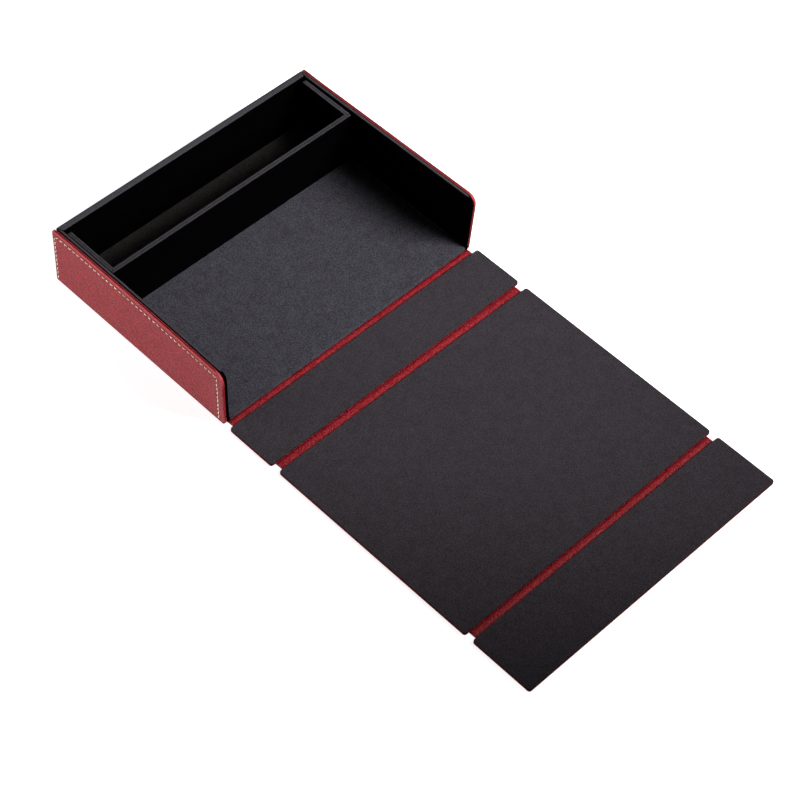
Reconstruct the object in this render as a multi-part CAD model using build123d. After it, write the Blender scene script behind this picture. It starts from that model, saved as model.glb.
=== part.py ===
"""A folding game box, opened out: a low box without a front wall, a cover of three
panels that lies in front of it on leatherette hinge strips, and a loose compartment
tray at its back.

Millimetres. X runs along the hinges, +Y towards the box's back wall, +Z up. The origin
is the centre of the box's underside. Closed, the front panel stands before the open
front, the lid lies on the rims and the closing flap hangs down behind the back wall.
"""
from build123d import *
import os

os.makedirs("parts", exist_ok=True)

# ---- The box ----
box_width = 190.0  # over the faces of the two side panels
box_depth = 140.5
box_height = 41.0

base_skin_thickness = 0.6  # leatherette under the floor
floor_board_thickness = 1.6
floor_lining_thickness = 0.5

side_wall_board_thickness = 1.2
back_wall_board_thickness = 3.3
back_skin_thickness = 0.5
wall_lining_thickness = 0.5
side_stiffener_thickness = 1.6
side_skin_thickness = 0.6
free_corner_radius = 6.0  # top front corners of the side walls

# ---- The stitching round each side panel ----
stitch_pitch = 3.5
stitch_length = 2.3
stitch_width = 0.8
stitch_thickness = 0.3
stitch_inset_top = 3.8
stitch_inset_front = 4.0
stitch_inset_back = 1.8
stitch_inset_bottom = 1.4
stitch_corner_radius = 3.0

# ---- The cover's panels ----
cover_overhang = 0.9  # beyond the box, at each side
cover_corner_radius = 1.5
cover_skin_thickness = 0.6
cover_board_thickness = 1.2
cover_lining_thickness = 0.5

# ---- The hinge strips, each with one crease ----
strip_end_clearance = 0.1  # from a strip's end to the plane of the side panel's inner face
strip_thickness = 1.0
crease_slit = 0.2  # left between the two halves of a strip
crease_to_front_panel = 3.55
front_panel_to_crease = 4.85
crease_to_lid = 0.95
lid_to_crease = 3.55
crease_to_flap = 1.65
closing_clearance = 0.3  # between the closed cover and the box
flap_ground_clearance = 0.55  # under the closing flap when it hangs down

# ---- The magnets that hold the flap shut ----
magnet_radius = 5.0
magnet_thickness = 1.1
magnet_spacing = 100.0
magnet_height = 20.5  # above the underside, with the box closed
magnet_play = 0.1

# ---- The compartment tray ----
tray_depth = 40.9
tray_side_gap = 0.9
tray_back_gap = 0.35
tray_rim_drop = 0.6  # tray rim below the box's rim
tray_board_thickness = 0.8
tray_base_lining_thickness = 0.4
tray_front_wall_thickness = 1.6
tray_front_lining_thickness = 1.5
tray_end_wall_thickness = 1.4
tray_end_lining_thickness = 1.3
tray_free_corner_radius = 4.0  # top back corners of the end walls

# ---- Places that follow from the sizes ----
front_y = -box_depth / 2
back_y = box_depth / 2
floor_board_top = base_skin_thickness + floor_board_thickness
floor_top = floor_board_top + floor_lining_thickness

side_panel_inner_x = box_width / 2 - side_skin_thickness - side_stiffener_thickness
side_board_inner_x = side_panel_inner_x - side_wall_board_thickness
inside_x = side_board_inner_x - wall_lining_thickness

back_board_outer_y = back_y - back_skin_thickness
back_board_inner_y = back_board_outer_y - back_wall_board_thickness
inside_back_y = back_board_inner_y - wall_lining_thickness

strip_end_x = side_panel_inner_x - strip_end_clearance
cover_end_x = box_width / 2 + cover_overhang

# The creases lie on the strips' upper face, which is the axis of each hinge.
cover_thickness = cover_skin_thickness + cover_board_thickness + cover_lining_thickness
lining_above_crease = cover_thickness - strip_thickness

# Closed, the front panel's lining stands one clearance in front of the box.
front_crease_y = front_y - closing_clearance - lining_above_crease
front_panel_back_y = front_crease_y - crease_to_front_panel
# Closed, the lid's lining lies one clearance above the rims.
front_crease_to_lid_crease = (
    box_height + closing_clearance + lining_above_crease - strip_thickness
)
lid_crease_y = front_crease_y - front_crease_to_lid_crease
front_panel_front_y = lid_crease_y + front_panel_to_crease
lid_back_y = lid_crease_y - crease_to_lid
# Closed, the flap's lining hangs one clearance behind the back wall.
lid_crease_to_flap_crease = box_depth + 2 * (closing_clearance + lining_above_crease)
flap_crease_y = lid_crease_y - lid_crease_to_flap_crease
lid_front_y = flap_crease_y + lid_to_crease
flap_back_y = flap_crease_y - crease_to_flap
closed_crease_height = strip_thickness + front_crease_to_lid_crease
flap_front_y = flap_crease_y - (closed_crease_height - flap_ground_clearance)

magnet_xs = (-magnet_spacing / 2, magnet_spacing / 2)
pocket_radius = magnet_radius + magnet_play
pocket_depth = magnet_thickness + magnet_play

tray_outer_x = inside_x - tray_side_gap
tray_back_y = inside_back_y - tray_back_gap
tray_front_y = tray_back_y - tray_depth
tray_base_top = floor_top + tray_board_thickness
tray_rim = box_height - tray_rim_drop


def block(x, y, z):
    """A plain block between the two ends given for each axis."""
    size = [high - low for low, high in (x, y, z)]
    middle = [(high + low) / 2 for low, high in (x, y, z)]
    return Pos(*middle) * Box(*size)


def with_round_top_corner(plate, radius, front):
    """The plate with its top corner rounded, at its front or its back."""
    top_edges = plate.edges().filter_by(Axis.X).group_by(Axis.Z)[-1].sort_by(Axis.Y)
    return fillet(top_edges[0] if front else top_edges[-1], radius)


def both_sides(inner_x, outer_x):
    """The X ranges of a pair of pieces, left and right."""
    return {"left": (-outer_x, -inner_x), "right": (inner_x, outer_x)}


def save(node, *solids):
    """One file for each node. A node of several loose solids is kept as a group."""
    shape = solids[0] if len(solids) == 1 else Compound(children=list(solids))
    shape.label = node
    export_step(shape, f"parts/{node}.step")


def make_floor():
    across = (-side_panel_inner_x, side_panel_inner_x)
    along = (front_y, back_y)
    save("base_skin", block(across, along, (0, base_skin_thickness)))
    save("floor_board", block(across, along, (base_skin_thickness, floor_board_top)))
    lining_across = (-inside_x, inside_x)
    lining_along = (front_y, inside_back_y)
    save("floor_lining", block(lining_across, lining_along, (floor_board_top, floor_top)))


def make_side_walls():
    """Each side wall: lining, board, stiffener and grained skin, from inside to outside."""
    upright = (floor_board_top, box_height)
    for side, x in both_sides(inside_x, side_board_inner_x).items():
        lining = block(x, (front_y, inside_back_y), upright)
        save(f"{side}_wall_lining", with_round_top_corner(lining, free_corner_radius, True))
    for side, x in both_sides(side_board_inner_x, side_panel_inner_x).items():
        board = block(x, (front_y, back_y), upright)
        save(f"{side}_wall_board", with_round_top_corner(board, free_corner_radius, True))
    stiffener_outer_x = side_panel_inner_x + side_stiffener_thickness
    full_height = (0, box_height)
    for side, x in both_sides(side_panel_inner_x, stiffener_outer_x).items():
        plate = block(x, (front_y, back_y), full_height)
        save(f"{side}_panel_stiffener", with_round_top_corner(plate, free_corner_radius, True))
    for side, x in both_sides(stiffener_outer_x, box_width / 2).items():
        plate = block(x, (front_y, back_y), full_height)
        save(f"{side}_panel_skin", with_round_top_corner(plate, free_corner_radius, True))


def make_stitching():
    """A row of stitches up the back edge, along the top and down the front edge."""
    low = stitch_inset_bottom
    high = box_height - stitch_inset_top
    near = front_y + stitch_inset_front
    far = back_y - stitch_inset_back
    for side, sign in (("left", -1), ("right", 1)):
        x = sign * box_width / 2
        corners = [(x, far, low), (x, far, high), (x, near, high), (x, near, low)]
        row = FilletPolyline(*corners, radius=stitch_corner_radius)
        count = int(row.length / stitch_pitch)
        stitches = []
        for number in range(count):
            place = (number + 0.5) / count
            seat = Plane(origin=row @ place, x_dir=row % place, z_dir=(sign, 0, 0))
            stitch = Box(
                stitch_length,
                stitch_width,
                stitch_thickness,
                align=(Align.CENTER, Align.CENTER, Align.MIN),
            )
            stitches.append(seat * stitch)
        save(f"{side}_stitching", *stitches)


def disc(x, y, z, direction, radius, depth):
    """A disc whose near face is centred on the point and whose depth runs along direction."""
    seat = Plane(origin=(x, y, z), z_dir=direction)
    return seat * Cylinder(radius, depth, align=(Align.CENTER, Align.CENTER, Align.MIN))


def make_back_wall():
    """The back wall, its board pocketed from behind for the magnets under its skin."""
    upright = (floor_board_top, box_height)
    between_boards = (-side_board_inner_x, side_board_inner_x)
    lining = block((-inside_x, inside_x), (inside_back_y, back_board_inner_y), upright)
    board = block(between_boards, (back_board_inner_y, back_board_outer_y), upright)
    skin = block(between_boards, (back_board_outer_y, back_y), upright)
    inward = (0, -1, 0)
    magnets = []
    for x in magnet_xs:
        pocket = (x, back_board_outer_y, magnet_height, inward, pocket_radius, pocket_depth)
        board -= disc(*pocket)
        magnet_y = back_board_outer_y - magnet_play / 2
        magnets.append(disc(x, magnet_y, magnet_height, inward, magnet_radius, magnet_thickness))
    save("back_wall_lining", lining)
    save("back_wall_board", board)
    save("back_wall_magnets", *magnets)
    save("back_wall_skin", skin)


def cover_layer(y, z):
    """One layer of a cover panel, its corners rounded in plan."""
    layer = block((-cover_end_x, cover_end_x), y, z)
    return fillet(layer.edges().filter_by(Axis.Z), cover_corner_radius)


def make_cover_panels():
    board_bottom = cover_skin_thickness
    board_top = board_bottom + cover_board_thickness
    panels = {
        "front_panel": (front_panel_front_y, front_panel_back_y),
        "lid": (lid_front_y, lid_back_y),
        "flap": (flap_front_y, flap_back_y),
    }
    for name, y in panels.items():
        board = cover_layer(y, (board_bottom, board_top))
        if name == "flap":
            board = with_flap_magnets(board, board_bottom)
        save(f"{name}_skin", cover_layer(y, (0, cover_skin_thickness)))
        save(f"{name}_board", board)
        save(f"{name}_lining", cover_layer(y, (board_top, cover_thickness)))


def with_flap_magnets(board, board_bottom):
    """The flap's board holed for its magnets, which meet the back wall's when closed."""
    up = (0, 0, 1)
    y = flap_crease_y - (closed_crease_height - magnet_height)
    magnet_z = board_bottom + (cover_board_thickness - magnet_thickness) / 2
    magnets = []
    for x in magnet_xs:
        board -= disc(x, y, board_bottom, up, pocket_radius, cover_board_thickness)
        magnets.append(disc(x, y, magnet_z, up, magnet_radius, magnet_thickness))
    save("flap_magnets", *magnets)
    return board


def make_hinge_strips():
    """Each strip in two halves, one on each side of its crease."""
    strips = {
        "front_strip": (front_y, front_crease_y, front_panel_back_y),
        "lid_strip": (front_panel_front_y, lid_crease_y, lid_back_y),
        "flap_strip": (lid_front_y, flap_crease_y, flap_back_y),
    }
    across = (-strip_end_x, strip_end_x)
    for name, (rear, crease, fore) in strips.items():
        rear_half = block(across, (crease + crease_slit / 2, rear), (0, strip_thickness))
        fore_half = block(across, (fore, crease - crease_slit / 2), (0, strip_thickness))
        save(f"{name}_rear_half", rear_half)
        save(f"{name}_fore_half", fore_half)


def make_tray():
    """A tray with a front wall and two end walls; the box's back wall closes it behind."""
    along = (tray_front_y, tray_back_y)
    save("tray_board", block((-tray_outer_x, tray_outer_x), along, (floor_top, tray_base_top)))

    upright = (tray_base_top, tray_rim)
    front_lining_y = tray_front_y + tray_front_wall_thickness
    behind_front_y = front_lining_y + tray_front_lining_thickness
    front_wall = block((-tray_outer_x, tray_outer_x), (tray_front_y, front_lining_y), upright)
    save("tray_front_wall", front_wall)

    end_board_inner_x = tray_outer_x - tray_end_wall_thickness
    end_lining_inner_x = end_board_inner_x - tray_end_lining_thickness
    for side, x in both_sides(end_board_inner_x, tray_outer_x).items():
        wall = block(x, (front_lining_y, tray_back_y), upright)
        save(f"tray_{side}_wall", with_round_top_corner(wall, tray_free_corner_radius, False))
    for side, x in both_sides(end_lining_inner_x, end_board_inner_x).items():
        lining = block(x, (behind_front_y, tray_back_y), upright)
        save(f"tray_{side}_lining", with_round_top_corner(lining, tray_free_corner_radius, False))

    lining_across = (-end_board_inner_x, end_board_inner_x)
    save("tray_front_lining", block(lining_across, (front_lining_y, behind_front_y), upright))
    base_lining = block(
        (-end_lining_inner_x, end_lining_inner_x),
        (behind_front_y, tray_back_y),
        (tray_base_top, tray_base_top + tray_base_lining_thickness),
    )
    save("tray_base_lining", base_lining)


make_floor()
make_side_walls()
make_stitching()
make_back_wall()
make_cover_panels()
make_hinge_strips()
make_tray()

print("creases at y", front_crease_y, lid_crease_y, flap_crease_y, "and z", strip_thickness)
print("cover ends at y", flap_front_y, "and the tray's front at y", tray_front_y)
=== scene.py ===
import bpy
import bmesh
import numpy as np
from mathutils import Matrix


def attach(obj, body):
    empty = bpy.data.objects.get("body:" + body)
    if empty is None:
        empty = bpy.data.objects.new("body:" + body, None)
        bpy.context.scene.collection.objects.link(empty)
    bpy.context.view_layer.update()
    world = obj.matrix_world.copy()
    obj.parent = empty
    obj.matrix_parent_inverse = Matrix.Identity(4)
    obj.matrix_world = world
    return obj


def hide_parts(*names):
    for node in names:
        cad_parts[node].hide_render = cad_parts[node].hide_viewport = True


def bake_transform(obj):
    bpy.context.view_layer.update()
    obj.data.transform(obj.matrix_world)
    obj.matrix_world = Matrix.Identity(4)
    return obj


# The looks of a folding game box, opened out: leatherette, suede, thread and cloth over the
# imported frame. Sizes are in millimetres until a mesh is made, and in metres in the scene.

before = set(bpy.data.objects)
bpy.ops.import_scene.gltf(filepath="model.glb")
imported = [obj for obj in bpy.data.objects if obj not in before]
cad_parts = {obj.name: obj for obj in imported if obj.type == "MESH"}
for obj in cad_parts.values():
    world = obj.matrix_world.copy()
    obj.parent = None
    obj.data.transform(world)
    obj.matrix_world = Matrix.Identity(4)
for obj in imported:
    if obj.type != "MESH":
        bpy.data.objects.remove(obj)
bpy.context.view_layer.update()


# ---- Red leatherette: the two side panels ----
# Each side panel is a stiff card wrapped in pebbled red leatherette and glued to the outside
# of a side wall. Its free top front corner is rounded, and a sewn row holds the turned edge.

millimetre = 0.001


def make_piece(name, material, *sheets, lighter_top=None):
    """A mesh from grids of points, each (rows, columns, 3) in millimetres.

    Every cell of four neighbouring points is one face. Grids are joined where their borders
    have the same points, and all faces are turned outwards. The keyword argument gives each
    point a share from 0 to 1 that the material reads, for a paler colour that is a painted
    highlight, partly wear.
    """
    points, faces, first = [], [], 0
    for sheet in sheets:
        rows, columns = sheet.shape[:2]
        number = first + np.arange(rows * columns).reshape(rows, columns)
        cells = (number[:-1, :-1], number[1:, :-1], number[1:, 1:], number[:-1, 1:])
        faces.append(np.stack(cells, axis=-1).reshape(-1, 4))
        points.append(sheet.reshape(-1, 3) * millimetre)
        first += rows * columns
    mesh = bpy.data.meshes.new(name)
    mesh.from_pydata(np.concatenate(points).tolist(), [], np.concatenate(faces).tolist())
    if lighter_top is not None:
        share = mesh.attributes.new("lighter_top", "FLOAT", "POINT")
        share.data.foreach_set("value", np.concatenate(lighter_top).astype(np.float32))
    shell = bmesh.new()
    shell.from_mesh(mesh)
    bmesh.ops.remove_doubles(shell, verts=shell.verts, dist=2e-6)
    bmesh.ops.recalc_face_normals(shell, faces=shell.faces)
    shell.to_mesh(mesh)
    shell.free()
    mesh.shade_smooth()
    mesh.materials.append(material)
    made = bpy.data.objects.new(name, mesh)
    bpy.context.scene.collection.objects.link(made)
    return made


def unbent(low, high, corner, edge, half, step):
    """Positions along one side of a sheet before it is bent over a board's edges.

    Evenly spaced over the flat part, closer where the sheet turns over the edge, then straight
    down to the middle of the board's thickness. The flat core starts one corner radius in.
    """
    shoulder = corner - edge
    flat = np.linspace(0, shoulder, max(2, int(shoulder / step) + 2))[1:]
    just_before = [shoulder - min(0.12, shoulder / 4)]
    turn = shoulder + edge * np.pi / 2 * np.linspace(0, 1, 6)[1:]
    wall = [turn[-1] + half - edge] if half - edge > 0.02 else []
    out = np.unique(np.concatenate([flat, just_before, turn, wall]))
    core = np.linspace(low + corner, high - corner, max(2, int((high - low) / step) + 1))
    return np.concatenate([low + corner - out[::-1], core, high - corner + out])


def wrapped_board(a_range, b_range, c_range, edge, corners, step=4.0):
    """The two faces of a board wrapped in sheet, as grids of (a, b, c), c its thickness.

    Beyond the flat core, a point's excess e is the larger of its excesses in a and b. Seen
    flat it lies at distance min(e, R - r) + r sin(t) from the core, with R the largest corner
    radius and r the edge radius, and it has sunk r (1 - cos t), t growing from 0 to a quarter
    turn; past that it goes straight down to the middle of the thickness. Towards a corner of
    a smaller radius q, the distance is stretched to where its ray meets the corner's own arc:
    (R - q) (cos + sin) + sqrt(q^2 - (R - q)^2 (1 - 2 cos sin)), or the straight side.
    corners are the radii at (low a, low b), (high a, low b), (high a, high b), (low a, high b).
    """
    largest = max(max(corners), edge + 0.3)
    half = (c_range[1] - c_range[0]) / 2
    a = unbent(*a_range, largest, edge, half, step)
    b = unbent(*b_range, largest, edge, half, step)
    a, b = np.meshgrid(a, b, indexing="ij")
    core_a = np.clip(a, a_range[0] + largest, a_range[1] - largest)
    core_b = np.clip(b, b_range[0] + largest, b_range[1] - largest)
    over_a, over_b = a - core_a, b - core_b
    excess = np.maximum(abs(over_a), abs(over_b))
    length = np.maximum(np.hypot(over_a, over_b), 1e-9)
    cos, sin = abs(over_a) / length, abs(over_b) / length
    turn = np.clip((excess - (largest - edge)) / edge, 0, np.pi / 2)
    reach = np.minimum(excess, largest - edge) + edge * np.sin(turn)
    past_turn = np.maximum(excess - (largest - edge) - edge * np.pi / 2, 0)
    sunk = edge * (1 - np.cos(turn)) + past_turn

    radius = np.select(
        [(over_a <= 0) & (over_b <= 0), (over_a > 0) & (over_b <= 0), (over_a > 0) & (over_b > 0)],
        corners[:3], corners[3])
    centre = largest - radius
    straight = largest / np.maximum(np.maximum(cos, sin), 1e-9)
    inside = np.maximum(radius**2 - centre**2 * (1 - 2 * cos * sin), 0)
    arc = centre * (cos + sin) + np.sqrt(inside)
    on_arc = straight * np.minimum(cos, sin) > centre
    outline = np.where(on_arc, arc, straight) / largest
    outline = np.where((cos < 1e-6) | (sin < 1e-6), 1.0, outline)
    a = core_a + outline * reach * over_a / length
    b = core_b + outline * reach * over_b / length
    upper = np.stack([a, b, c_range[1] - sunk], axis=-1)
    lower = np.stack([a, b, c_range[0] + sunk], axis=-1)
    return upper, lower


def as_xyz(sheets, order, sign=1, aside=0.0):
    """Sheets worked out in another order of axes, put in the order (x, y, z), mirrored to the
    left where sign is -1, and moved aside in x."""
    return [sheet[..., order] * (sign, 1, 1) + (aside, 0, 0) for sheet in sheets]


standing_across = [0, 2, 1]  # for a board worked out as (x, z, y)
standing_along = [2, 0, 1]  # for a board worked out as (y, z, x)
sides = (("left", -1), ("right", 1))

panel_depth = (-70.25, 70.25)
panel_height = (0.0, 41.0)
panel_inner, panel_outer = 92.8, 95.0
panel_edge, free_corner = 0.35, 6.0
upright_corners = (0.8, 0.8, 0.8, free_corner)

left_lean, left_lean_from = 1.3, 24.7  # behind the tray's front the left wall stands straight
right_lean, right_lean_from, right_lean_way = 2.4, 56.0, 126.0


def leaning(y, z, sign):
    """How far a side wall leans out, in proportion to the height. On the left it grows with
    the square of the way from where the tray holds it to its free end, on the right evenly
    from near the back."""
    if sign < 0:
        way = (left_lean_from - y) / (left_lean_from - panel_depth[0])
        top = left_lean * np.clip(way, 0, 1.1) ** 2
    else:
        top = right_lean * np.clip((right_lean_from - y) / right_lean_way, 0, 1.05)
    return top * np.clip(z / panel_height[1], 0, 1)


left_out, left_corner_out = 0.4, 0.4
left_ends_from = 52.0  # how far along it, from the middle, its two ends begin to differ
left_past_wall = 0.15  # half of what the closed cover leaves


def as_glued(x, y, z, sign):
    """Where the panel's points came to lie. The right one only leans with its wall. The left
    one stands a little further out, its top back corner more so, with the square of the way to
    the back edge and the cube of the height. Both its ends run a little past the wall, with
    the square of the way, the front one only towards the foot."""
    x = x + leaning(y, z, sign)
    if sign < 0:
        height = z / panel_height[1]
        end_way = panel_depth[1] - left_ends_from
        to_back = np.clip((y - left_ends_from) / end_way, 0, 1) ** 2
        to_front = np.clip((-left_ends_from - y) / end_way, 0, 1) ** 2
        x = x + left_out + left_corner_out * to_back * height**3
        y = y + left_past_wall * to_back - left_past_wall * to_front * (1 - height)
    return x, y


stitch_from_top, stitch_from_front, stitch_from_back, stitch_from_foot = 3.2, 4.0, 1.8, 1.4
stitch_bend, stitch_pitch, stitch_length, stitch_width = 3.0, 3.5, 2.55, 0.92
furrow_depth, furrow_width = 0.16, 0.8
pit_depth, pit_width = 0.22, 0.45


def sewn_line(s):
    """Place (y, z) and direction at the lengths s of the sewn line, and its whole length.

    It runs straight up the back, a quarter circle, forwards along the top, a quarter circle
    and straight down the front.
    """
    far, near = panel_depth[1] - stitch_from_back, panel_depth[0] + stitch_from_front
    low, high = stitch_from_foot, panel_height[1] - stitch_from_top
    r = stitch_bend
    upright, quarter, along_top = high - r - low, r * np.pi / 2, far - near - 2 * r
    start = np.concatenate([[0], np.cumsum([upright, quarter, along_top, quarter, upright])])
    s = np.clip(np.asarray(s, float), 0, start[-1] - 1e-6)
    leg = np.searchsorted(start, s, side="right") - 1
    t = s - start[leg]
    turn = t / r
    zero = np.zeros_like(t)
    y = np.choose(leg, [far + zero, far - r + r * np.cos(turn), far - r - t,
                        near + r - r * np.sin(turn), near + zero])
    z = np.choose(leg, [low + t, high - r + r * np.sin(turn), high + zero,
                        high - r + r * np.cos(turn), high - r - t])
    dy = np.choose(leg, [zero, -np.sin(turn), zero - 1, -np.cos(turn), zero])
    dz = np.choose(leg, [zero + 1, np.cos(turn), zero, -np.sin(turn), zero - 1])
    return y, z, dy, dz, start[-1]


row_length = sewn_line([0])[4]
stitch_count = int(row_length / stitch_pitch)
stitch_places = (np.arange(stitch_count) + 0.5) * row_length / stitch_count


def pressed_by_thread(y, z):
    """How far the leatherette is drawn in: a soft furrow along the sewn line, and a small
    deeper pit at both ends of each stitch, each falling off as exp(-(distance / width)^2)."""
    line_y, line_z = sewn_line(np.arange(0, row_length, 0.5))[:2]
    ends = np.concatenate([stitch_places - stitch_length / 2, stitch_places + stitch_length / 2])
    pit_y, pit_z = sewn_line(ends)[:2]
    flat_y, flat_z = y.reshape(-1, 1), z.reshape(-1, 1)
    to_line = ((flat_y - line_y) ** 2 + (flat_z - line_z) ** 2).min(axis=1)
    to_pit = ((flat_y - pit_y) ** 2 + (flat_z - pit_z) ** 2).min(axis=1)
    furrow = furrow_depth * np.exp(-to_line / furrow_width**2)
    pits = pit_depth * np.exp(-to_pit / pit_width**2)
    return (furrow + pits).reshape(y.shape)


def new_material(name, colour, roughness, gloss):
    """A material whose uniform numbers are set on the shader's own sockets."""
    material = bpy.data.materials.new(name)
    material.use_nodes = True
    shader = material.node_tree.nodes["Principled BSDF"]
    shader.inputs["Base Color"].default_value = (*colour, 1)
    shader.inputs["Roughness"].default_value = roughness
    shader.inputs["Specular IOR Level"].default_value = gloss
    return material, material.node_tree, shader


def add(tree, kind, *values, **settings):
    """A node of that kind. The values feed its inputs in order, settings with a leading
    capital feed the inputs of those names, and the others are the node's own properties.

    An input that is fed another node's output is linked to it, and any other is set.
    """
    node = tree.nodes.new(kind)
    fed = dict(enumerate(values))
    for key, value in settings.items():
        if key[0].isupper():
            fed[key] = value
        else:
            setattr(node, key, value)
    for key, value in fed.items():
        if isinstance(value, bpy.types.NodeSocket):
            tree.links.new(value, node.inputs[key])
        else:
            node.inputs[key].default_value = value
    return node


def object_place(tree):
    """The place on the piece, in metres in its own frame."""
    return add(tree, "ShaderNodeTexCoord").outputs["Object"]


def colour_ramp(tree, factor, dark, light, ends=(0.0, 1.0)):
    """The colour that goes evenly from dark to light as the factor goes between the ends."""
    ramp = add(tree, "ShaderNodeValToRGB", Fac=factor)
    for element, position, colour in zip(ramp.color_ramp.elements, ends, (dark, light)):
        element.position = position
        element.color = (*colour, 1)
    return ramp.outputs["Color"]


def leatherette(name, dark, light, roughness, gloss):
    """Pebbled leatherette: rounded cells about 0.8 mm across between fine creases, from a
    distance-to-centre cell pattern, over slow unevenness of colour and of the backing.

    Where the mesh carries the share attribute, turned edges are paler by that share: a
    painted highlight, partly wear.
    """
    material, tree, shader = new_material(name, light, roughness, gloss)
    place = object_place(tree)
    wander = add(tree, "ShaderNodeTexNoise", Vector=place, Scale=420.0, Detail=2.0, Roughness=0.6)
    uneven = add(tree, "ShaderNodeVectorMath", wander.outputs["Color"], (0.0011, 0.0011, 0.0011),
                 place, operation="MULTIPLY_ADD")
    cells = add(tree, "ShaderNodeTexVoronoi", Vector=uneven.outputs["Vector"], Scale=1200.0,
                Smoothness=0.25, feature="SMOOTH_F1").outputs["Distance"]
    slow = add(tree, "ShaderNodeTexNoise", Vector=place, Scale=95.0, Detail=4.0,
               Roughness=0.62).outputs["Fac"]
    tops = add(tree, "ShaderNodeMath", cells, -1.5, 0.85, operation="MULTIPLY_ADD")
    blend = add(tree, "ShaderNodeMath", slow, 0.3, tops.outputs[0], operation="MULTIPLY_ADD")
    tint = colour_ramp(tree, blend.outputs[0], dark, light, ends=(0.1, 0.8))
    lighter_top = add(tree, "ShaderNodeAttribute", attribute_name="lighter_top")
    # pale is the painted highlight, partly wear, on the side panels' turned edges.
    pale = (*[c * 1.1 + 0.025 for c in light], 1)
    paler = add(tree, "ShaderNodeMix", Factor=lighter_top.outputs["Fac"], A=tint, B=pale,
                data_type="RGBA")
    tree.links.new(paler.outputs["Result"], shader.inputs["Base Color"])
    pebble = add(tree, "ShaderNodeBump", Height=cells, Strength=0.8, Distance=0.00028,
                 invert=True)
    backing = add(tree, "ShaderNodeBump", Height=slow, Normal=pebble.outputs["Normal"],
                  Strength=0.35, Distance=0.0006)
    tree.links.new(backing.outputs["Normal"], shader.inputs["Normal"])
    return material


red_leatherette = leatherette(
    "red_leatherette", (0.185, 0.0, 0.005), (0.438, 0.030, 0.040), 0.48, 0.22)


def from_free_edge(y, z):
    """Distance inwards from the panel's top and front edges, its round corner included."""
    inwards = np.minimum(panel_height[1] - z, y - panel_depth[0])
    over_y = panel_depth[0] + free_corner - y
    over_z = z - panel_height[1] + free_corner
    round_corner = free_corner - np.hypot(over_y, over_z)
    return np.where((over_y > 0) & (over_z > 0), round_corner, inwards)


highlight_way = 1.1  # how far in from the free edge the painted highlight and wear fade out
highlight_from, highlight_over = 93.1, 0.4  # it shows on the outer part of the edge alone
front_highlight, full_above, full_over = 0.3, 30.0, 8.0  # it is weaker down the front


def highlight_and_wear_share(inwards, out, z):
    """How pale the turned edge is painted, a painted highlight with some wear, as a product of
    three even ramps: out of the free edge, from the wall's side of the edge to its outer
    side, and up to the top."""
    near_edge = np.clip(1.25 - inwards / highlight_way, 0, 1)
    outside = np.clip((out - highlight_from) / highlight_over, 0, 1)
    upwards = front_highlight + (1 - front_highlight) * np.clip((z - full_above) / full_over, 0, 1)
    return near_edge * outside * upwards


turned_edge = 1.9  # how far in from its edge the leatherette starts to roll over
face_roll, back_roll = -0.45, 0.3  # how far the two faces come together at the very edge

for side, sign in sides:
    face, back = wrapped_board(panel_depth, panel_height, (panel_inner, panel_outer),
                               panel_edge, upright_corners, step=0.55)
    face[..., 2] -= pressed_by_thread(face[..., 0], face[..., 1])
    # Each point's share of the painted highlight, partly wear, along the turned edge.
    lighter_top = []
    for sheet, drawn_in in ((face, face_roll), (back, back_roll)):
        inwards = from_free_edge(sheet[..., 0], sheet[..., 1])
        roll = np.clip(1 - inwards / turned_edge, 0, 0.98)
        sheet[..., 2] += drawn_in * (1 - np.sqrt(1 - roll**2))
        lighter_top.append(highlight_and_wear_share(inwards, sheet[..., 2], sheet[..., 1]).ravel())
    sheets = as_xyz((face, back), standing_along)
    for sheet in sheets:
        x, y = as_glued(sheet[..., 0], sheet[..., 1], sheet[..., 2], sign)
        sheet[..., 0], sheet[..., 1] = sign * x, y
    panel = make_piece(f"{side}_panel_leatherette", red_leatherette, *sheets, lighter_top=lighter_top)
    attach(panel, "box")
    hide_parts(f"{side}_panel_skin", f"{side}_panel_stiffener")


# ---- The sewn rows ----
# Cream thread, a row of short stitches up the back, along the top and down the front of each
# side panel. Both ends of a stitch dive into the leatherette.

def cream_thread_material():
    """Twisted thread: slanting plies shaded by a sine wave across the thread's direction."""
    material, tree, shader = new_material("cream_thread", (0.92, 0.80, 0.65), 0.6, 0.35)
    plies = add(tree, "ShaderNodeTexWave", Vector=object_place(tree), Scale=620.0,
                Distortion=0.6, bands_direction="DIAGONAL").outputs["Fac"]
    tint = colour_ramp(tree, plies, (0.80, 0.66, 0.52), (0.98, 0.89, 0.75))
    tree.links.new(tint, shader.inputs["Base Color"])
    twist = add(tree, "ShaderNodeBump", Height=plies, Strength=0.4, Distance=0.0001)
    tree.links.new(twist.outputs["Normal"], shader.inputs["Normal"])
    return material


cream_thread = cream_thread_material()
thread_rise, thread_dive, thread_half, thread_bed = 0.22, 0.5, 0.16, 0.1


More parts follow.
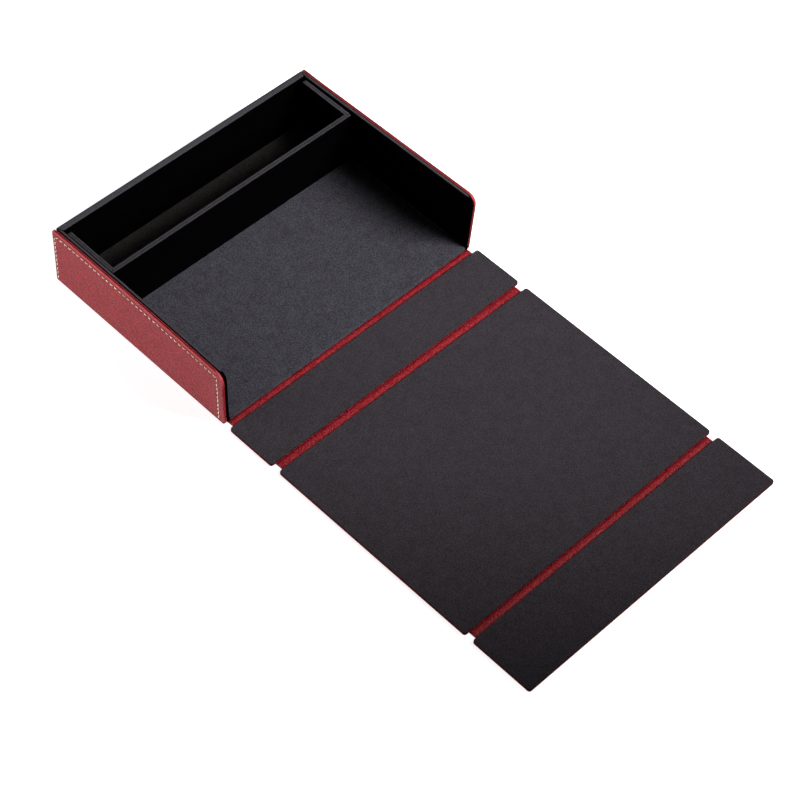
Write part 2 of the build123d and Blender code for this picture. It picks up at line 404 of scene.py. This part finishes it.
def stitches(sign):
    """All stitches of one row as a grid each: along a stitch (u from -1 to 1) its middle rises
    as rise - dive u^4 above the leatherette, and its section is an ellipse that narrows to
    the ends as (1 - u^4)^(1/2)."""
    y, z, dy, dz = (part[:, None, None] for part in sewn_line(stitch_places)[:4])
    u = np.array([-1.0, -0.86, -0.5, 0.0, 0.5, 0.86, 1.0])[None, :, None]
    angle = np.linspace(0, 2 * np.pi, 9)[None, None, :]
    narrow = np.sqrt(np.maximum(1 - u**4, 0.02))
    along = u * stitch_length / 2
    across = narrow * stitch_width / 2 * np.cos(angle)
    out = thread_rise - thread_dive * u**4 + thread_half * narrow * np.sin(angle)
    point_y = y + dy * along - dz * across
    point_z = z + dz * along + dy * across
    point_x, point_y = as_glued(panel_outer - thread_bed + out, point_y, point_z, sign)
    return np.stack([sign * point_x, point_y, point_z], axis=-1)


for side, sign in sides:
    row = make_piece(f"{side}_sewn_row", cream_thread, *stitches(sign))
    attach(row, "box")
    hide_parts(f"{side}_stitching")


# ---- Suede: the walls ----
# Side and back walls are board wrapped in black suede. Their faces are a near-black, black
# suede with painted shade, and their rims turn charcoal as a painted highlight where the
# tops catch the light. The back wall meets the side walls in a mitre.

nap_middle, nap_spread = 0.58, 0.14


def suede(name, shade, lighter_top=None, rim=None, speckle=0.6):
    """Short napped suede: a fine noise, plus a little of a slower one for the drift of the
    nap, goes through a ramp from the dark between the fibres to their tips.

    With a paler colour and rim, the colour turns to the paler one where the height passes rim,
    in metres.
    """
    material, tree, shader = new_material(name, shade, 1.0, 0.0)
    place = object_place(tree)
    fine = add(tree, "ShaderNodeTexNoise", Vector=place, Scale=1400.0, Detail=3.0,
               Roughness=0.8).outputs["Fac"]
    drift = add(tree, "ShaderNodeTexNoise", Vector=place, Scale=210.0, Detail=3.0,
                Roughness=0.55).outputs["Fac"]
    nap = add(tree, "ShaderNodeMath", drift, 0.16, fine, operation="MULTIPLY_ADD")

    def speckled(mean):
        """Dark between the fibres, and their tips a little bluer."""
        between = [c * (1 - speckle) for c in mean]
        tips = [c * (1 + speckle * more) for c, more in zip(mean, (0.95, 0.95, 1.15))]
        return colour_ramp(tree, nap.outputs[0], between, tips,
                           ends=(nap_middle - nap_spread, nap_middle + nap_spread))

    colour = speckled(shade)
    if lighter_top:
        height = add(tree, "ShaderNodeSeparateXYZ", place).outputs["Z"]
        worn = add(tree, "ShaderNodeMapRange", height, *rim, interpolation_type="SMOOTHSTEP")
        colour = add(tree, "ShaderNodeMix", Factor=worn.outputs["Result"], A=colour,
                     B=speckled(lighter_top), data_type="RGBA").outputs["Result"]
    tree.links.new(colour, shader.inputs["Base Color"])
    tuft = add(tree, "ShaderNodeBump", Height=fine, Strength=0.5, Distance=0.0001)
    tree.links.new(tuft.outputs["Normal"], shader.inputs["Normal"])
    return material


# The walls' near-black is black suede with painted shade on its faces. The charcoal above 40.4 mm
# is a painted highlight on the rims, where they catch the light.
black_with_painted_shade = (0.0011, 0.0010, 0.0013)
wall_suede = suede("wall_suede", black_with_painted_shade, lighter_top=(0.070, 0.065, 0.072),
                   rim=(0.0404, 0.04095), speckle=0.3)
wall_layer = (91.1, 92.77)
back_layer = (65.95, 70.25)
skin_thickness = 0.35
floor_board_top = 2.2
wall_height = (floor_board_top, panel_height[1])
mitre_gap = 0.05
side_mitre_from, back_mitre_from = 40.0, 60.0


def mitred(along, through, end, thickness, start):
    """Places along a wall once its end is cut on the mitre, the straight line from the walls'
    inner corner to their outer one: beyond start, the way is scaled so that it ends there."""
    mitre = end[0] + (end[1] - end[0]) * (through - thickness[0]) / (thickness[1] - thickness[0])
    scaled = start + (along - start) * (mitre - mitre_gap - start) / (end[1] - start)
    return np.where(along > start, scaled, along)


for side, sign in sides:
    sheets = as_xyz(wrapped_board(panel_depth, wall_height, wall_layer, 0.75, upright_corners,
                                  step=2.5), standing_along)
    for sheet in sheets:
        x, y, z = sheet[..., 0], sheet[..., 1], sheet[..., 2]
        y = mitred(y, x, back_layer, wall_layer, side_mitre_from)
        sheet[..., 0], sheet[..., 1] = sign * (x + leaning(y, z, sign)), y
    wall = make_piece(f"{side}_wall_suede", wall_suede, *sheets)
    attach(wall, "box")
    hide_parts(f"{side}_wall_board", f"{side}_wall_lining")

sheets = as_xyz(wrapped_board((-wall_layer[1], wall_layer[1]), wall_height,
                              (back_layer[0], back_layer[1] - skin_thickness), 0.9, (1.0,) * 4),
                standing_across)
for sheet in sheets:
    x, y = sheet[..., 0], sheet[..., 1]
    sheet[..., 0] = np.sign(x) * mitred(abs(x), y, wall_layer, back_layer, back_mitre_from)
wall = make_piece("back_wall_suede", wall_suede, *sheets)
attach(wall, "box")
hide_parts("back_wall_board", "back_wall_lining")


# ---- Black leatherette: the back of the box ----
# One piece of thin black leatherette is glued flat over the outside of the back wall, from
# the foot to just under the rim.

black_leatherette = leatherette(
    "black_leatherette", (0.012, 0.011, 0.013), (0.036, 0.034, 0.038), 0.5, 0.4)
skin_half, skin_height, skin_layer = 92.75, (0.1, 40.7), (69.85, 70.25)
sheets = as_xyz(wrapped_board((-skin_half, skin_half), skin_height, skin_layer, 0.18,
                              (0.6,) * 4), standing_across)
cover = make_piece("back_wall_leatherette", black_leatherette, *sheets)
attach(cover, "box")
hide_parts("back_wall_skin")


# ---- The floor ----
# A board with red leatherette under it and charcoal suede on top, which is turned down over
# the board's front edge behind the first hinge strip.

base_half = 92.7
sheets = wrapped_board((-base_half, base_half), (panel_depth[0], skin_layer[0]), (0.0, 0.6),
                       0.2, (0.6,) * 4)
underside = make_piece("base_leatherette", red_leatherette, *sheets)
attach(underside, "box")
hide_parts("base_skin")

charcoal_suede = suede("charcoal_suede", (0.058, 0.055, 0.063))
floor_half, floor_cloth_top = 91.1, 2.7
sheets = wrapped_board((-floor_half, floor_half), (panel_depth[0], back_layer[0]),
                       (floor_board_top, floor_cloth_top), 0.22, (0.4,) * 4)
floor_cloth = make_piece("floor_suede", charcoal_suede, *sheets)
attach(floor_cloth, "box")
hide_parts("floor_lining")

turned_half, turned_height, turned_layer = 91.0, (0.62, 2.6), (-70.48, -70.2)
sheets = as_xyz(wrapped_board((-turned_half, turned_half), turned_height, turned_layer, 0.12,
                              (0.3,) * 4, step=5.0), standing_across)
turned_down = make_piece("floor_front_suede", charcoal_suede, *sheets)
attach(turned_down, "box")

# The side walls' black suede is drawn down over the floor board's corners to the ground.
foot_width, foot_height = (91.05, wall_layer[1] + 0.5), (0.05, 3.4)
for side, sign in sides:
    sheets = as_xyz(wrapped_board(foot_width, foot_height, turned_layer, 0.13, (0.3,) * 4,
                                  step=1.0), standing_across, sign)
    foot = make_piece(f"{side}_wall_foot_suede", wall_suede, *sheets)
    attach(foot, "box")


# ---- The cover's three panels ----
# Each is a thin board: red leatherette outside, underneath as it lies here, and suede on top,
# turned down over the board's edges.

cover_half = 95.9
panels = {"front_panel": (-108.6, -75.4), "lid": (-253.6, -114.4), "flap": (-299.2, -258.8)}
cloth_inset, cloth_layer, cover_skin_layer = 0.05, (0.85, 2.3), (0.0, 0.95)
cloth_edge, cover_skin_edge, cover_corners = 0.28, 0.2, (1.5,) * 4
# Above 1.9 mm the boards' suede shows its own charcoal. Below that, on the boards' sides, it is a
# dark red: the leatherette turned over the edge, partly painted shade.
edge_suede = suede("edge_suede", (0.030, 0.009, 0.010), lighter_top=(0.0505, 0.0430, 0.0480),
                   rim=(0.0019, 0.00225), speckle=0.42)
for name, y_range in panels.items():
    across = (-cover_half + cloth_inset, cover_half - cloth_inset)
    along = (y_range[0] + cloth_inset, y_range[1] - cloth_inset)
    sheets = wrapped_board(across, along, cloth_layer, cloth_edge, cover_corners, step=5.0)
    cloth = make_piece(f"{name}_suede", edge_suede, *sheets)
    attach(cloth, name)
    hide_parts(f"{name}_board", f"{name}_lining")
    sheets = wrapped_board((-cover_half, cover_half), y_range, cover_skin_layer,
                           cover_skin_edge, cover_corners, step=5.0)
    skin = make_piece(f"{name}_leatherette", red_leatherette, *sheets)
    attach(skin, name)
    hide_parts(f"{name}_skin")


# ---- The hinge strips ----
# Red leatherette folded double, joining two neighbours along its crease. Each is made as it
# lies open, arching up a little between its two boards.

# Height of each strip over its way from rear to front. It lies in a low roll, flatter behind.
roll_way = (0.0, 0.06, 0.14, 0.24, 0.33, 0.42, 0.52, 0.62, 0.72, 0.82, 0.92, 1.0)
roll_height = (0.75, 0.88, 1.03, 1.20, 1.30, 1.32, 1.27, 1.18, 1.08, 1.0, 0.95, 0.9)
strips = {
    "front_strip": ("box", "front_panel", -71.85, -70.3, -75.5),
    "lid_strip": ("front_panel", "lid", -113.45, -108.5, -114.5),
    "flap_strip": ("lid", "flap", -257.15, -253.5, -258.9),
}
strip_half, strip_step, strip_low, strip_seam = 92.7, 1.2, 0.03, 0.35


def strip_shell(profile):
    """A strip from its upper profile (y, z) carried across: the upper sheet over x, and a
    lower one flat on the ground, joined in a seam all round. Each part of the profile is
    divided evenly in four. Over the last millimetre towards each end of the strip, the upper
    sheet comes down by nine tenths as a quarter circle."""
    y, z = np.array(profile, float).T
    quarters = np.arange(0, len(y) - 1 + 1e-9, 0.25)
    fine_y = np.interp(quarters, np.arange(len(y)), y)
    fine_z = np.interp(quarters, np.arange(len(y)), z)
    ends = np.array([0.0, 0.03, 0.12, 0.3, 0.6, 1.0])
    middle = np.arange(-strip_half + 1 + strip_step, strip_half - 1 - strip_step / 2, strip_step)
    x = np.concatenate([-strip_half + ends, middle, (strip_half - ends)[::-1]])
    last = np.clip(1 - (strip_half - abs(x)), 0, 1)
    drop = 1 - np.sqrt(np.clip(1 - last**2, 0, 1))
    x_grid, y_grid = np.meshgrid(x, fine_y, indexing="ij")
    border = np.zeros(x_grid.shape, bool)
    border[:, [0, -1]] = border[[0, -1], :] = True
    z_upper = strip_low + (fine_z[None, :] - strip_low) * (1 - 0.9 * drop[:, None])
    upper = np.stack([x_grid, y_grid, np.where(border, strip_seam, z_upper)], axis=-1)
    lower = np.stack([x_grid, y_grid, np.where(border, strip_seam, strip_low)], axis=-1)
    return upper, lower


for name, (rear_body, fore_body, crease, rear, fore) in strips.items():
    profile = [(rear + (fore - rear) * way, z) for way, z in zip(roll_way, roll_height)]
    strip = make_piece(f"{name}_leatherette", red_leatherette, *strip_shell(profile))
    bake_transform(strip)
    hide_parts(f"{name}_rear_half", f"{name}_fore_half")


# ---- The compartment tray ----
# A loose tray of cloth-covered board, open at the back where the box's back wall closes it.
# Its walls are two layers each, which show as two lines along the rims.

# The tray walls share that near-black with painted shade. Above 39.7 mm their rims are paler as a
# painted highlight: less on the front wall, more on the end walls, as lit and shaded copies of one
# suede.
tray_rim_highlight = {"rim": (0.0397, 0.0403), "speckle": 0.3}
tray_front_suede = suede("tray_front_suede", black_with_painted_shade, lighter_top=(0.049, 0.045, 0.050),
                         **tray_rim_highlight)
tray_end_suede = suede("tray_end_suede", black_with_painted_shade, lighter_top=(0.072, 0.066, 0.073), **tray_rim_highlight)
tray_floor_suede = suede("tray_floor_suede", (0.041, 0.038, 0.035), speckle=0.4)
tray_height, tray_back = (2.75, 40.4), 65.6
tray_aside = -0.45  # the loose tray lies a little to the left

sheets = as_xyz(wrapped_board((-88.9, 88.9), (26.0, tray_back), (2.72, 3.9), 0.3, (0.5,) * 4),
                [0, 1, 2], aside=tray_aside)
tray_floor = make_piece("tray_floor_cloth", tray_floor_suede, *sheets)
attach(tray_floor, "tray")
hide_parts("tray_board", "tray_base_lining")

for node, half, layer in (("tray_front_wall", 90.2, (24.7, 26.28)),
                          ("tray_front_lining", 88.8, (26.32, 27.8))):
    sheets = as_xyz(wrapped_board((-half, half), tray_height, layer, 0.62, (0.7,) * 4),
                    standing_across, aside=tray_aside)
    cloth = make_piece(f"{node}_cloth", tray_front_suede, *sheets)
    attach(cloth, "tray")
    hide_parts(node)

for side, sign in sides:
    for node, front, layer in ((f"tray_{side}_wall", 26.3, (88.85, 90.2)),
                               (f"tray_{side}_lining", 27.8, (87.5, 88.75))):
        sheets = as_xyz(wrapped_board((front, tray_back), tray_height, layer, 0.42,
                                      (0.6, 0.6, 4.0, 0.6), step=3.0),
                        standing_along, sign, tray_aside)
        cloth = make_piece(f"{node}_cloth", tray_end_suede, *sheets)
        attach(cloth, "tray")
        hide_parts(node)


# ---- Hidden boards and magnets ----
# The floor's grey board and the nickel-plated disc magnets keep the frame's own solids. Cloth
# and leatherette cover them on every side.

grey_board, tree, shader = new_material("grey_board", (0.30, 0.29, 0.28), 0.95, 0.2)
fibre = add(tree, "ShaderNodeTexNoise", Vector=object_place(tree), Scale=900.0, Detail=4.0,
            Roughness=0.7)
flecks = colour_ramp(tree, fibre.outputs["Fac"], (0.22, 0.21, 0.20), (0.38, 0.37, 0.35))
tree.links.new(flecks, shader.inputs["Base Color"])

nickel, tree, shader = new_material("nickel_plate", (0.62, 0.61, 0.58), 0.3, 0.5)
shader.inputs["Metallic"].default_value = 1.0
scuffs = add(tree, "ShaderNodeTexNoise", Vector=object_place(tree), Scale=700.0, Detail=3.0)
dents = add(tree, "ShaderNodeBump", Height=scuffs.outputs["Fac"], Strength=0.15,
            Distance=0.00005)
tree.links.new(dents.outputs["Normal"], shader.inputs["Normal"])

for node, material in (("floor_board", grey_board), ("back_wall_magnets", nickel),
                       ("flap_magnets", nickel)):
    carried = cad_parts[node].data
    carried.materials.clear()
    carried.materials.append(material)


# ---- The set: floor, light and camera ----
# A white floor and a dim white world, one soft light from the right front, a weak one from
# behind on the left, and the camera above the left front.

def seen_by_camera(tree, output, otherwise, shown):
    """Puts shown before the camera and into gloss and glass, and otherwise everywhere else."""
    rays = add(tree, "ShaderNodeLightPath").outputs
    bounced = add(tree, "ShaderNodeMath", rays["Is Glossy Ray"], rays["Is Transmission Ray"],
                  operation="MAXIMUM")
    seen = add(tree, "ShaderNodeMath", rays["Is Camera Ray"], bounced.outputs[0],
               operation="ADD", use_clamp=True)
    choose = add(tree, "ShaderNodeMixShader", seen.outputs[0], otherwise, shown)
    add(tree, output, Surface=choose.outputs[0])


def stage_floor():
    """A large flat square under the box. Seen by the camera it is white, glowing more with the
    distance from the box, and the box's own shadow stays in it; for the box it is white paper
    that throws light back."""
    reach, ground = 6.0, -0.0002
    mesh = bpy.data.meshes.new("white_floor")
    mesh.from_pydata([(-reach, -reach, ground), (reach, -reach, ground),
                      (reach, reach, ground), (-reach, reach, ground)], [], [(0, 1, 2, 3)])
    floor = bpy.data.objects.new("white_floor", mesh)
    bpy.context.scene.collection.objects.link(floor)
    material = bpy.data.materials.new("white_paper")
    material.use_nodes = True
    tree = material.node_tree
    tree.nodes.clear()
    paper = add(tree, "ShaderNodeBsdfDiffuse", Color=(0.86, 0.86, 0.86, 1))
    middle, near, far, least, most = (0.0, -0.115, 0.0), 0.12, 0.32, 0.82, 1.0
    away = add(tree, "ShaderNodeVectorMath", object_place(tree), middle, operation="DISTANCE")
    brighter = add(tree, "ShaderNodeMapRange", away.outputs["Value"], near, far, least, most,
                   interpolation_type="SMOOTHSTEP")
    glow = add(tree, "ShaderNodeEmission", Color=(1, 1, 1, 1),
               Strength=brighter.outputs["Result"])
    glowing = add(tree, "ShaderNodeAddShader", paper.outputs[0], glow.outputs[0])
    seen_by_camera(tree, "ShaderNodeOutputMaterial", paper.outputs[0], glowing.outputs[0])
    mesh.materials.append(material)


stage_floor()

world = bpy.data.worlds.new("studio")
bpy.context.scene.world = world
world.use_nodes = True
tree = world.node_tree
tree.nodes.clear()
dim = add(tree, "ShaderNodeBackground", Color=(1, 1, 1, 1), Strength=0.03)
white = add(tree, "ShaderNodeBackground", Color=(1, 1, 1, 1), Strength=1.0)
seen_by_camera(tree, "ShaderNodeOutputWorld", dim.outputs[0], white.outputs[0])


def aimed(place, target):
    """A turned place whose -Z looks from place to target, with +Z kept up."""
    back = np.subtract(place, target) / np.linalg.norm(np.subtract(place, target))
    right = np.cross((0, 0, 1), back)
    right /= np.linalg.norm(right)
    up = np.cross(back, right)
    turned = np.eye(4)
    turned[:3, :3] = np.stack([right, up, back], axis=1)
    turned[:3, 3] = place
    return Matrix(turned.tolist())


def soft_light(name, place, target, size, power, spread):
    """A soft box of that width and height in metres, its power in watts."""
    lamp = bpy.data.lights.new(name, "AREA")
    lamp.shape = "RECTANGLE"
    lamp.size, lamp.size_y = size
    lamp.energy = power
    lamp.spread = np.radians(spread)
    lit = bpy.data.objects.new(name, lamp)
    lit.matrix_world = aimed(place, target)
    bpy.context.scene.collection.objects.link(lit)


soft_light("key_light", (0.321, -0.453, 0.418), (0.0128, 0.0068, 0.0), (0.361, 0.361), 0.75, 43.0)
soft_light("fill_light", (-0.62, 0.50, 0.12), (-0.095, 0.12, 0.02), (0.6, 0.20), 0.60, 45.0)

camera_place = np.array((-614.71, -662.75, 1032.93)) * millimetre
camera_target = np.array((-13.06, -122.56, 0.0)) * millimetre
camera_roll = 4.448
lens = bpy.data.cameras.new("photo_lens")
lens.sensor_width = 36.0
lens.lens = 107.80
camera = bpy.data.objects.new("photo_camera", lens)
roll = Matrix.Rotation(np.radians(camera_roll), 4, "Z")
camera.matrix_world = aimed(camera_place, camera_target) @ roll
bpy.context.scene.collection.objects.link(camera)
bpy.context.scene.camera = camera
bpy.context.scene.view_settings.view_transform = "Standard"
